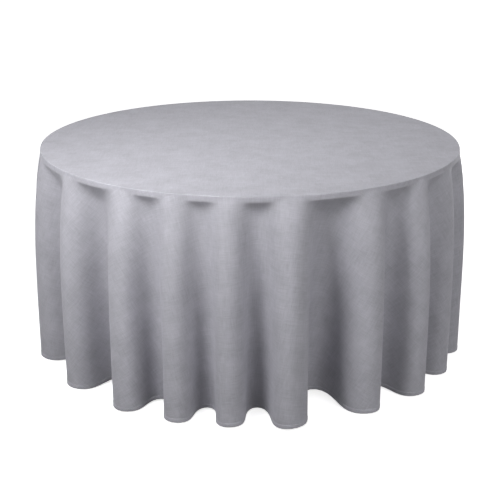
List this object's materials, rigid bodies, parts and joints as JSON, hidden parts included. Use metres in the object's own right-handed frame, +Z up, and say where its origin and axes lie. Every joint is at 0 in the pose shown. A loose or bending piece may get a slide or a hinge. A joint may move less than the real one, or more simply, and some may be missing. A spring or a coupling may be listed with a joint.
{
  "type": "tablecloth on a table",
  "caption": "Floor-length round tablecloth draped in soft folds over a round folding table with four fold-away tube legs.",
  "frame": {"origin": "on the floor under the middle of the table", "axes": "+Z up, -Y towards the front, +X to the right seen from the front"},
  "size_m": [1.6304, 1.621, 0.7631],
  "materials": {
    "cloth": "plain-weave polyester, silver grey, matt with a faint sheen",
    "plywood": "clear-sealed birch plywood",
    "moulding": "satin dark brown vinyl",
    "leg_paint": "dark powder coat",
    "zinc": "bright zinc plate",
    "spring_steel": "tempered spring steel, oiled",
    "nylon": "black moulded nylon",
    "foot_rubber": "black rubber"
  },
  "bodies": {
    "table": {"top_panel": "plywood", "edge_moulding": "moulding", "bracket_back_right": "zinc", "hinge_bolt_back_right": "zinc", "hinge_nut_back_right": "zinc", "lock_spring_back_right": "spring_steel", "spring_rivet_back_right": "zinc", "screw_1_back_right": "zinc", "screw_2_back_right": "zinc", "screw_3_back_right": "zinc", "screw_4_back_right": "zinc", "bracket_back_left": "zinc", "hinge_bolt_back_left": "zinc", "hinge_nut_back_left": "zinc", "lock_spring_back_left": "spring_steel", "spring_rivet_back_left": "zinc", "screw_1_back_left": "zinc", "screw_2_back_left": "zinc", "screw_3_back_left": "zinc", "screw_4_back_left": "zinc", "bracket_front_left": "zinc", "hinge_bolt_front_left": "zinc", "hinge_nut_front_left": "zinc", "lock_spring_front_left": "spring_steel", "spring_rivet_front_left": "zinc", "screw_1_front_left": "zinc", "screw_2_front_left": "zinc", "screw_3_front_left": "zinc", "screw_4_front_left": "zinc", "bracket_front_right": "zinc", "hinge_bolt_front_right": "zinc", "hinge_nut_front_right": "zinc", "lock_spring_front_right": "spring_steel", "spring_rivet_front_right": "zinc", "screw_1_front_right": "zinc", "screw_2_front_right": "zinc", "screw_3_front_right": "zinc", "screw_4_front_right": "zinc"},
    "leg_back_right": {"leg_head_back_right": "nylon", "leg_tube_back_right": "leg_paint", "foot_back_right": "foot_rubber"},
    "leg_back_left": {"leg_head_back_left": "nylon", "leg_tube_back_left": "leg_paint", "foot_back_left": "foot_rubber"},
    "leg_front_left": {"leg_head_front_left": "nylon", "leg_tube_front_left": "leg_paint", "foot_front_left": "foot_rubber"},
    "leg_front_right": {"leg_head_front_right": "nylon", "leg_tube_front_right": "leg_paint", "foot_front_right": "foot_rubber"},
    "cloth": {"tablecloth": "cloth", "hem": "cloth"}
  },
  "joints": [
    {"name": "fold_leg_back_right", "type": "hinge", "parent": "table", "child": "leg_back_right", "pos_m": [0.38566, 0.38566, 0.71333], "axis": [0, 1, 0], "range_deg": [0, 90], "deforming": ["lock_spring_back_right"]},
    {"name": "fold_leg_back_left", "type": "hinge", "parent": "table", "child": "leg_back_left", "pos_m": [-0.38566, 0.38566, 0.71333], "axis": [-1, 0, 0], "range_deg": [0, 90], "deforming": ["lock_spring_back_left"]},
    {"name": "fold_leg_front_left", "type": "hinge", "parent": "table", "child": "leg_front_left", "pos_m": [-0.38566, -0.38566, 0.71333], "axis": [0, -1, 0], "range_deg": [0, 90], "deforming": ["lock_spring_front_left"]},
    {"name": "fold_leg_front_right", "type": "hinge", "parent": "table", "child": "leg_front_right", "pos_m": [0.38566, -0.38566, 0.71333], "axis": [1, 0, 0], "range_deg": [0, 90], "deforming": ["lock_spring_front_right"]},
    {"name": "cloth_lift", "type": "slide", "parent": "table", "child": "cloth", "axis": [0, 0, 1], "range_m": [0, 1], "deforming": ["tablecloth", "hem"]}
  ]
}
